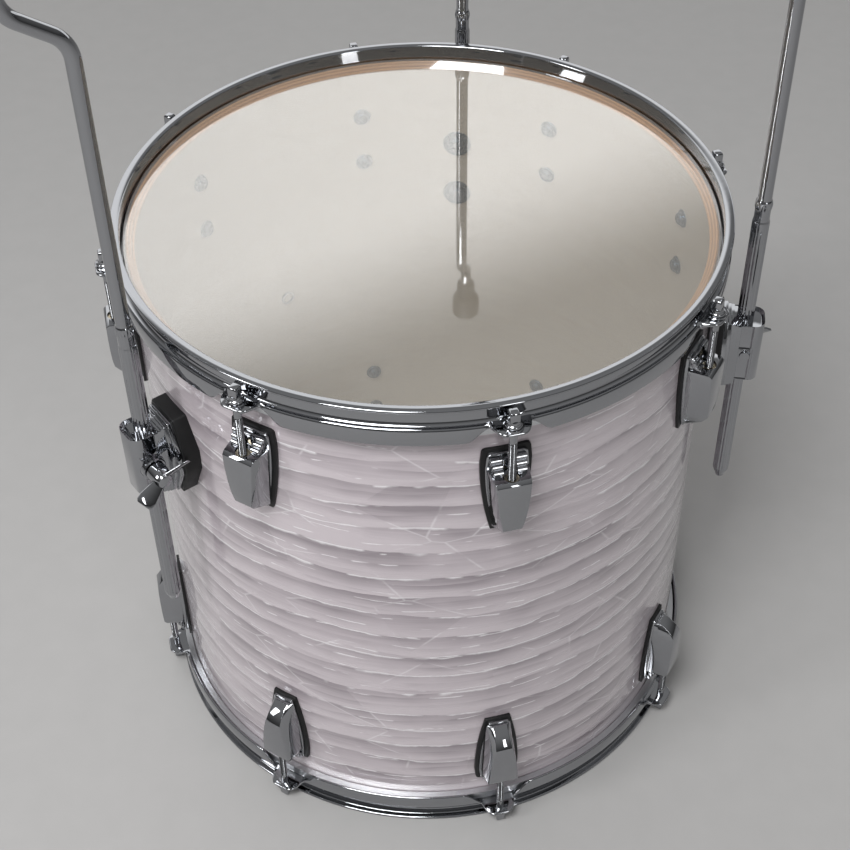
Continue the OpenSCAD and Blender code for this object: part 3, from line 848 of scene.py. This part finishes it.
def rodMesh(name):
    r = rodLook
    fadeLong = r["fade"]
    # threaded shaft: a helical ridge runs down from the plain neck
    steps, perTurn = 20, 4
    pitch = r["thread"]
    rows = int(r["long"] / pitch * perTurn)
    verts, faces = [], []
    for k in range(rows + 1):
        z = -r["long"] + k * r["long"] / rows
        threaded = -r["plain"] - fadeLong
        fade = smoothStep(-r["plain"], threaded, z) if z > threaded else 1.0
        end = smoothStep(0.0, fadeLong, z + r["long"])
        for s in range(steps):
            a = 2 * math.pi * s / steps
            ridge = 0.5 + 0.5 * math.cos(2 * math.pi * z / pitch - a)
            radius = r["shaft"] * (0.82 + 0.18 * end) - r["threadDeep"] * (1 - ridge) * fade
            verts.append((radius * math.cos(a), radius * math.sin(a), z))
    for k in range(rows):
        for s in range(steps):
            t = (s + 1) % steps
            faces.append((k * steps + s, k * steps + t, (k + 1) * steps + t, (k + 1) * steps + s))
    faces += [tuple(range(steps))[::-1], tuple(rows * steps + s for s in range(steps))]
    shaft = meshFrom("shaft", verts, faces)
    f = r["flange"]
    profile = [(0, -0.0002), (f - 0.0008, -0.0002), (f - 0.0002, 0.0002), (f, 0.0008), (f, 0.0016),
               (f - 0.0004, 0.0022), (f - 0.0014, 0.0027), (0.0042, 0.0033), (0.0036, 0.0046),
               (0.0, 0.0046)]
    collar = turned("collar", profile, 40)
    q = r["square"]
    corners = [(-q, -q), (q, -q), (q, q), (-q, q)]
    tiers = ((0.94, 0.0030), (1.0, 0.0044), (1.0, 0.0100), (0.80, 0.0113))
    rings = [[(x * c, y * c, z) for x, y in corners] for c, z in tiers]
    head = bevelled(loft("head", rings), 0.0005, 2, 20)
    mesh = joinMeshes(name, [shaft, collar, head])
    mesh.transform(Matrix.Translation((drum["rodR"], 0, drum["topZ"] - r["seat"])))
    return mesh


for k in range(1, lugCount + 1):
    for side in ("resonant", "batter"):
        mesh = rodMesh(f"{side}Rod{k}")
        if side == "batter":
            turnOver(mesh)
        mesh.transform(Matrix.Rotation(lugAngles[k - 1], 4, "Z"))
        newPiece(f"{side}Rod{k}", mesh, f"{side}_rod_{k}_spin", [f"{side}_rod_{k}"], chrome, 35)


rodWasherLook = {"hole": 0.0031, "out": 0.0063, "thick": 0.0015}


def rodWasherMesh():
    z = drum["topZ"] - hoopLook["earTop"]
    hole, out, top = rodWasherLook["hole"], rodWasherLook["out"], z + rodWasherLook["thick"]
    profile = [(hole, z), (out - 0.0002, z), (out, z + 0.0003), (out, top - 0.0004), (out - 0.0004, top),
               (hole + 0.0002, top), (hole, top - 0.0002)]
    return turned("rodWasher", profile, 40, Matrix.Translation((drum["rodR"], 0, 0)))


bothWashers = joinMeshes("bothWashers", [rodWasherMesh(), turnOver(rodWasherMesh())])
ringOf("rodWashers", bothWashers, chrome, ["rod_washers"], 40)
print("rods made")

# screws inside the shell

screwLook = {
    "lug": {
        "gap": 0.043, "headR": 0.0050, "headH": 0.0030, "shaftR": 0.0024, "reach": 0.006,
        "washerR": 0.0068, "holeR": 0.0026, "washerT": 0.0014,
    },
    "bracket": {
        "gap": 0.0484, "headR": 0.0066, "headH": 0.0042, "shaftR": 0.0030, "reach": 0.0130,
        "washerR": 0.0112, "holeR": 0.0032, "washerT": 0.0018,
    },
}
shellWall = drum["plyR"] - drum["plyT"]


def insideScrew(look, z):
    # pan head with a cross recess, pointing outward through the shell
    headR, headH, shaftR = look["headR"], look["headH"], look["shaftR"]
    start = shellWall - 0.0016
    tipR = drum["wrapR"] + look["reach"]
    profile = [(0.0, -tipR), (shaftR, -tipR), (shaftR, -start), (headR, -start)]
    for k in range(6):
        a = math.radians(90 * k / 5)
        domeR = headR * (0.62 + 0.38 * math.cos(a))
        profile.append((domeR, -start + 0.0006 + (headH - 0.0006) * math.sin(a)))
    profile.append((0.0, -start + headH))
    place = Matrix.Translation((0, 0, z)) @ Matrix.Rotation(-math.pi / 2, 4, "Y")
    body = turned("screw", profile, 36, place)
    headTop = start - headH
    arms = []
    for wide, high in ((headR * 0.55, 0.0007), (0.0007, headR * 0.55)):
        arms.append(slab("arm", rectangle(wide, high, z), headTop - 0.002, headTop + 0.0016))
    return cutBy(body, arms)


def insideWasher(look, z):
    holeR, outR, back = look["holeR"], look["washerR"], -shellWall
    thick = look["washerT"]
    profile = [(holeR, back), (outR, back), (outR, back + thick * 0.6), (outR - 0.0005, back + thick),
               (holeR, back + thick)]
    place = Matrix.Translation((0, 0, z)) @ Matrix.Rotation(-math.pi / 2, 4, "Y")
    return turned("washer", profile, 40, place)


def screwPair(kind, middle):
    # two screws one above the other, and their washers
    look = screwLook[kind]
    heights = [middle + s * look["gap"] / 2 for s in (-1, 1)]
    return [insideScrew(look, z) for z in heights], [insideWasher(look, z) for z in heights]


upperScrews, upperWashers = screwPair("lug", lugMid)
lowerScrews, lowerWashers = screwPair("lug", drum["topZ"] - lugMid)
ringOf("lugScrews", joinMeshes("lugScrews", upperScrews + lowerScrews), zinc, ["shell_screws"])
ringOf("lugScrewWashers", joinMeshes("lugScrewWashers", upperWashers + lowerWashers), zinc,
       ["screw_washers"])
for k, a in enumerate(legAngles, 1):
    heads, rings = screwPair("bracket", bracketMid)
    mesh = joinMeshes(f"bracketScrews{k}", heads + rings)
    mesh.transform(Matrix.Rotation(a, 4, "Z"))
    newPiece(f"bracketScrews{k}", mesh, "drum", ["shell_screws", "screw_washers"], zinc, 30)
print("inside screws made")

# leg brackets

bracketLook = {
    "pad": 0.010, "padHalf": 0.024, "padHigh": 0.033, "blockHalf": 0.0115, "blockOut": 0.0386,
    "blockLow": 0.298, "blockHigh": 0.348, "split": 0.3265, "boltZ": 0.320, "boltOut": 0.0275,
    "corner": 0.007, "panelEdge": 0.0020, "panelDeep": 0.0009, "pocketDeep": 0.0030,
    "padCuts": (0.0135, 0.008), "padBack": 0.0030,
    "plate": (0.0212, 0.0306, 0.0119, 0.009), "plateT": 0.0034,
    "step": (0.0174, 0.0290, 0.0117, 0.010), "stepT": 0.0058,
    "ledge": (0.0119, 0.0284), "ledgeT": 0.0080, "ledgeRise": 0.0024,
}
bracketLook["boltPlace"] = (
    Matrix.Translation((drum["wrapR"] + bracketLook["boltOut"], 0, bracketLook["boltZ"]))
    @ Matrix.Rotation(-math.pi / 2, 4, "X"))


def longOctagon(halfW, halfH, cutW, cutH, z):
    # an upright octagon: cutW and cutH are the half lengths of its level and its upright sides
    side = [(halfW, z + cutH), (cutW, z + halfH)]
    low = [(cutW, z - halfH), (halfW, z - cutH)]
    return side + [(-y, v) for y, v in reversed(side)] + [(-y, v) for y, v in reversed(low)] + low


def blockMesh():
    b = bracketLook
    near, far = drum["wrapR"] + b["pad"], drum["wrapR"] + b["blockOut"]
    half, r = b["blockHalf"], b["corner"]
    plan = [(near, -half)]
    for k in range(7):
        a = math.radians(-90 + 90 * k / 6)
        plan.append((far - r + r * math.cos(a), -half + r + r * math.sin(a)))
    for k in range(7):
        a = math.radians(90 * k / 6)
        plan.append((far - r + r * math.cos(a), half - r + r * math.sin(a)))
    plan.append((near, half))
    rings = [[(x, y, z) for x, y in plan] for z in (b["blockLow"], b["split"], b["blockHigh"])]
    mesh = loft("block", rings)
    work = bmesh.new()
    work.from_mesh(mesh)
    # sunk panels on both flat sides and a pocket in the top
    sides = [f for f in work.faces if abs(f.normal.y) > 0.99 and f.calc_area() > 0.00005]
    bmesh.ops.inset_individual(work, faces=sides, thickness=b["panelEdge"], depth=-b["panelDeep"])
    top = [f for f in work.faces if f.normal.z > 0.99 and len(f.verts) > 6]
    bmesh.ops.inset_individual(work, faces=top, thickness=b["panelEdge"], depth=-b["pocketDeep"])
    work.to_mesh(mesh)
    work.free()
    return bevelled(mesh, 0.0005, 2, 30)


def bracketMesh():
    b = bracketLook
    near = drum["wrapR"] + b["pad"]
    plate = slab("plate", longOctagon(*b["plate"], bracketMid), near - 0.0005, near + b["plateT"])
    step = slab("step", longOctagon(*b["step"], bracketMid), near, near + b["stepT"])
    parts = [bevelled(plate, 0.0007, 3), bevelled(step, 0.0006, 3), blockMesh()]
    # three ledges climb to the block from both ends
    for k in range(3):
        outline = rectangle(b["ledge"][0] - 0.0002 * k, b["ledge"][1] - 0.0008 * k, bracketMid)
        ledge = slab("ledge", outline, near, near + b["ledgeT"] + b["ledgeRise"] * k)
        parts.append(bevelled(ledge, 0.0005))
    # boss that takes the wing bolt, and the blind end of its hole on the other side
    half = b["blockHalf"]
    boss = [(0.0042, half - 0.002), (0.0085, half - 0.002), (0.0085, half + 0.0020),
            (0.0078, half + 0.0028), (0.0046, half + 0.0029), (0.0042, half + 0.0025)]
    parts.append(turned("boss", boss, 48, b["boltPlace"]))
    end = [(0.0, -half - 0.0002), (0.0035, -half - 0.0002), (0.0038, -half + 0.0004),
           (0.0038, -half + 0.002), (0.0, -half + 0.002)]
    parts.append(turned("end", end, 32, b["boltPlace"]))
    return joinMeshes("bracket", parts)


def bracketGasketMesh():
    b = bracketLook
    w = drum["wrapR"]
    outline = longOctagon(b["padHalf"], b["padHigh"], *b["padCuts"], bracketMid)
    return bevelled(slab("pad", outline, w - b["padBack"], w + b["pad"]), 0.0009, 3)


wingLook = {
    # (radius, distance from the bracket's middle) of the hub, from its neck to its domed end
    "hub": [(0.0, 0.0097), (0.0034, 0.0097), (0.0039, 0.0103), (0.0039, 0.0150), (0.0066, 0.0150),
            (0.0070, 0.0156), (0.0067, 0.0215), (0.0061, 0.0255), (0.0048, 0.0280), (0.0028, 0.0289),
            (0.0, 0.0291)],
    # (place along, half width, thickness) of a leaf, from its root to its tip
    "leaf": [(0.0015, 0.0042, 0.0024), (0.0060, 0.0044, 0.0021), (0.0110, 0.0054, 0.0016),
             (0.0160, 0.0064, 0.0014), (0.0195, 0.0062, 0.0013), (0.0215, 0.0048, 0.0011)],
    "leafZ": 0.0238, "turn": 26, "rise": -15, "twist": 32,
}


def wingBoltMesh():
    look = wingLook
    parts = [turned("hub", look["hub"], 40)]
    for turn in (0, 180):
        rings = []
        for x, half, thick in look["leaf"]:
            t = thick * 0.6
            rings.append([(x, -half, -t), (x, half, -t), (x, half, t), (x, -half, t)])
        leaf = bevelled(loft("leaf", rings), 0.0005, 2, 50)
        place = (Matrix.Translation((0, 0, look["leafZ"]))
                 @ Matrix.Rotation(math.radians(look["turn"] + turn), 4, "Z")
                 @ Matrix.Rotation(math.radians(look["rise"]), 4, "Y")
                 @ Matrix.Rotation(math.radians(look["twist"]), 4, "X"))
        leaf.transform(place)
        parts.append(leaf)
    mesh = joinMeshes("wingBolt", parts)
    mesh.transform(bracketLook["boltPlace"])
    return mesh


for k, a in enumerate(legAngles, 1):
    turn = Matrix.Rotation(a, 4, "Z")
    bracket, pad, bolt = bracketMesh(), bracketGasketMesh(), wingBoltMesh()
    for mesh in (bracket, pad, bolt):
        mesh.transform(turn)
    newPiece(f"legBracket{k}", bracket, "drum", [f"leg_bracket_{k}"], chrome, 30)
    newPiece(f"bracketPad{k}", pad, "drum", ["bracket_gaskets"], rubber, 30)
    newPiece(f"wingBolt{k}", bolt, f"wing_bolt_{k}_head", [f"wing_bolt_{k}"], chrome, 30)
print("brackets made")

# legs

legLook = {
    "fluted": 0.0059, "smooth": 0.00475, "flutes": 18, "fluteDeep": 0.00038, "bendR": 0.024,
    "bend": math.radians(52), "slant": 0.022, "flutedTop": 0.430, "collar": 0.447, "bendZ": 0.632,
    "tip": 0.0032, "tipLong": 0.009, "neck": 0.0006, "shoulder": 0.0004, "bandLong": 0.006, "upper": 0.028,
    "steps": 108, "bendSteps": 16,
}


def legRadius(z, low):
    # radius and depth of the flutes at a height on the straight length
    f = legLook
    neck, band = f["fluted"] - f["neck"], f["bandLong"]
    shoulder = f["fluted"] - f["shoulder"]
    if z < low + f["tipLong"]:
        return blendOf(f["tip"], f["fluted"], smoothStep(low, low + f["tipLong"], z)), 0.3
    if z < f["flutedTop"]:
        return f["fluted"], 1.0
    if z < f["flutedTop"] + 0.003:
        return f["fluted"] - f["neck"] * smoothStep(f["flutedTop"], f["flutedTop"] + 0.003, z), 0.5
    if z < f["collar"] - band:
        return neck, 0.0
    if z < f["collar"]:
        swell = math.sin(math.pi * (z - f["collar"] + band) / band)
        return shoulder + f["shoulder"] * swell, 1.0
    return blendOf(shoulder, f["smooth"], smoothStep(f["collar"], f["collar"] + 0.0016, z)), 0.0


def legMesh(name, low):
    # one bar swept up its fluted length, through the collar and round both bends
    f = legLook
    turns = f["bendSteps"]
    heights = [low + 0.0003 * k for k in range(1, 4)] + [low + 0.001 * k for k in range(2, 11)]
    heights += [low + 0.010 + (f["flutedTop"] - low - 0.010) * k / 20 for k in range(1, 21)]
    heights += [f["flutedTop"] + 0.0005 * k for k in range(1, 7)]
    heights += [f["collar"] - 0.0065 + 0.0005 * k for k in range(18)]
    heights += [f["collar"] + 0.003, f["bendZ"]]
    path = [(0.0, z, 0.0) for z in heights]
    for k in range(1, turns + 1):
        a = f["bend"] * k / turns
        path.append((f["bendR"] * (1 - math.cos(a)), f["bendZ"] + f["bendR"] * math.sin(a), a))
    x1, z1, a1 = path[-1]
    x2, z2 = x1 + f["slant"] * math.sin(a1), z1 + f["slant"] * math.cos(a1)
    path.append((x2, z2, a1))
    for k in range(1, turns + 1):
        a = f["bend"] * (1 - k / turns)
        x = x2 + f["bendR"] * (math.cos(a) - math.cos(a1))
        z = z2 + f["bendR"] * (math.sin(a1) - math.sin(a))
        path.append((x, z, a))
    path.append((path[-1][0], path[-1][1] + f["upper"], 0.0))
    steps = f["steps"]
    rings = []
    for x, z, lean in path:
        straight = z <= f["bendZ"] and lean == 0.0 and x == 0.0
        radius, flute = legRadius(z, low) if straight else (f["smooth"], 0.0)
        ring = []
        for s in range(steps):
            a = 2 * math.pi * s / steps
            cut = f["fluteDeep"] * flute * (0.5 - 0.5 * math.cos(f["flutes"] * a)) ** 0.7
            r = radius - cut
            ahead = r * math.cos(a)
            ring.append((x + ahead * math.cos(lean), r * math.sin(a), z - ahead * math.sin(lean)))
        rings.append(ring)
    return loft(name, rings)


footLook = {
    "radius": 0.0125, "sleeve": 0.0036, "shoulderZ": 0.0225, "shoulderHigh": 0.0085,
    "grips": 3, "gripZ": 0.0248, "gripStep": 0.0030, "gripR": 0.0119, "bore": 0.014,
}


def footMesh(low, high, x):
    f = footLook
    r, out = legLook["smooth"], f["radius"]
    sleeve = r + f["sleeve"]
    tall = high - low
    profile = [(r, 0.0005), (r + 0.0022, 0.0), (r + 0.0030, 0.0006), (r + 0.0034, 0.0020),
               (sleeve, 0.0120)]
    for k in range(5):
        a = math.radians(90 * k / 4)
        z = f["shoulderZ"] - f["shoulderHigh"] * math.cos(a)
        profile.append((sleeve + (out - sleeve) * math.sin(a), z))
    # moulded grip rings
    for k in range(f["grips"]):
        z = f["gripZ"] + f["gripStep"] * k
        profile += [(out, z), (f["gripR"], z + 0.0006), (f["gripR"], z + 0.0012), (out, z + 0.0018)]
    inside = tall - f["bore"]
    profile += [(out, tall - 0.0018), (out - 0.0004, tall - 0.0006), (out - 0.0013, tall), (0.0060, tall),
                (0.0052, tall - 0.0010), (0.0, tall - 0.0010), (0.0, inside), (r, inside)]
    return turned("foot", profile, 56, Matrix.Translation((x, 0, low)))


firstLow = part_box("leg_1")[0].z
bend = legLook["bend"]
reach = 2 * legLook["bendR"] * (1 - math.cos(bend)) + legLook["slant"] * math.sin(bend)
for k, a in enumerate(legAngles, 1):
    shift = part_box(f"leg_{k}")[0].z - firstLow
    mesh = legMesh(f"leg{k}", firstLow)
    mesh.transform(Matrix.Rotation(a, 4, "Z") @ Matrix.Translation((drum["legR"], 0, shift)))
    newPiece(f"leg{k}", mesh, f"leg_{k}_set", [f"leg_{k}"], legChrome, 40)
    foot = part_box(f"leg_foot_{k}")
    mesh = footMesh(foot[0].z, foot[1].z, drum["legR"] + reach)
    mesh.transform(Matrix.Rotation(a, 4, "Z"))
    newPiece(f"legFoot{k}", mesh, f"leg_{k}_set", [f"leg_foot_{k}"], rubber, 30)
print("legs and feet made")

# CAD nodes that stay

kept = {
    "resonant_head_film": film, "batter_head_film": coated, "resonant_flesh_hoop": aluminium,
    "batter_flesh_hoop": aluminium, "swivel_nuts": brass, "clamp_pads": zinc,
}
for name, finish in kept.items():
    for slot in nodes[name].material_slots:
        slot.material = finish
print("kept nodes painted")

# studio

studio = {
    "floor": (0.43, 0.425, 0.42), "floorHalf": 25.0, "worldLow": 0.05, "worldHigh": 0.34,
    "glow": 1.3, "glowSide": (-0.425, 0.527, -0.736), "glowSoft": 0.05,
    "camera": Vector((0.1278, -0.8297, 1.0286)), "heading": math.radians(8.7), "pitch": 0.71454,
    "roll": -0.01639, "lens": 63.84, "shiftUp": -0.10,
}


def makeFloor():
    half = studio["floorHalf"]
    corners = [(-half, -half, 0), (half, -half, 0), (half, half, 0), (-half, half, 0)]
    mesh = meshFrom("floor", corners, [(0, 1, 2, 3)])
    if mesh.polygons[0].normal.z < 0:
        mesh.flip_normals()
    s = Shader("paleFloor")
    grain = s.noise(s.objectPoint(), 40.0, 4.0)
    tone = studio["floor"]
    s.set(Base_Color=s.mixed(s.levels(grain, 0.3, 0.7), tone, [c * 0.97 for c in tone]), Roughness=0.85)
    floor = newPiece("floor", mesh, material=s.material)


def makeWorld():
    # a dim room, paler overhead, with one wide soft glow low behind the drum
    world = bpy.data.worlds.new("studio")
    bpy.context.scene.world = world
    world.use_nodes = True
    tree = world.node_tree
    back = tree.nodes["Background"]
    back.inputs["Color"].default_value = (1, 1, 1, 1)
    way = tree.nodes.new("ShaderNodeTexCoord").outputs["Generated"]

    def facing(direction, low, high, toLow, toHigh):
        dot = tree.nodes.new("ShaderNodeVectorMath")
        dot.operation = "DOT_PRODUCT"
        dot.inputs[1].default_value = direction
        tree.links.new(way, dot.inputs[0])
        reach = tree.nodes.new("ShaderNodeMapRange")
        reach.interpolation_type = "SMOOTHSTEP"
        for key, value in zip(("From Min", "From Max", "To Min", "To Max"), (low, high, toLow, toHigh)):
            reach.inputs[key].default_value = value
        tree.links.new(dot.outputs["Value"], reach.inputs["Value"])
        return reach.outputs["Result"]

    def joined(operation, a, b):
        node = tree.nodes.new("ShaderNodeMath")
        node.operation = operation
        tree.links.new(a, node.inputs[0])
        tree.links.new(b, node.inputs[1])
        return node.outputs[0]

    room = facing((0, 0, 1), -0.1, 0.9, studio["worldLow"], studio["worldHigh"])
    glow = facing(studio["glowSide"], -studio["glowSoft"], studio["glowSoft"], 0.0, studio["glow"])
    ahead = facing((0, 1, 0), 0.15, 0.55, 0.0, 1.0)
    tree.links.new(joined("ADD", room, joined("MULTIPLY", glow, ahead)), back.inputs["Strength"])


softboxes = {
    "overhead": {"place": (-0.35, -1.3, 2.4), "target": (0, 0.1, 0.3), "size": (0.9, 0.9), "power": 43},
    "frontLeft": {"place": (-2.2, -1.6, 1.9), "target": (0, 0, 0.25), "size": (0.5, 1.4), "power": 22},
    "frontRight": {"place": (1.6, -2.2, 1.3), "target": (0, 0, 0.25), "size": (0.3, 1.2), "power": 7},
}


def makeSoftbox(name, place, target, size, power):
    lamp = bpy.data.lights.new(name, "AREA")
    lamp.shape = "RECTANGLE"
    lamp.size, lamp.size_y = size
    lamp.energy = power
    item = bpy.data.objects.new(name, lamp)
    item.location = place
    item.rotation_euler = (Vector(target) - Vector(place)).to_track_quat("-Z", "Y").to_euler()
    bpy.context.scene.collection.objects.link(item)


def makeCamera():
    c = studio
    sinH, cosH = math.sin(c["heading"]), math.cos(c["heading"])
    ahead = Vector((-sinH * math.cos(c["pitch"]), cosH * math.cos(c["pitch"]), -math.sin(c["pitch"])))
    right = Vector((cosH, sinH, 0))
    up = right.cross(ahead)
    rolledRight = right * math.cos(c["roll"]) + up * math.sin(c["roll"])
    rolledUp = up * math.cos(c["roll"]) - right * math.sin(c["roll"])
    data = bpy.data.cameras.new("view")
    data.lens, data.sensor_width, data.shift_y = c["lens"], 36.0, c["shiftUp"]
    camera = bpy.data.objects.new("view", data)
    facing = Matrix((rolledRight, rolledUp, -ahead)).transposed().to_4x4()
    camera.matrix_world = Matrix.Translation(c["camera"]) @ facing
    bpy.context.scene.collection.objects.link(camera)
    bpy.context.scene.camera = camera


makeFloor()
makeWorld()
for name, look in softboxes.items():
    makeSoftbox(name, **look)
makeCamera()
bpy.context.scene.view_settings.view_transform = "Standard"
print("studio set")
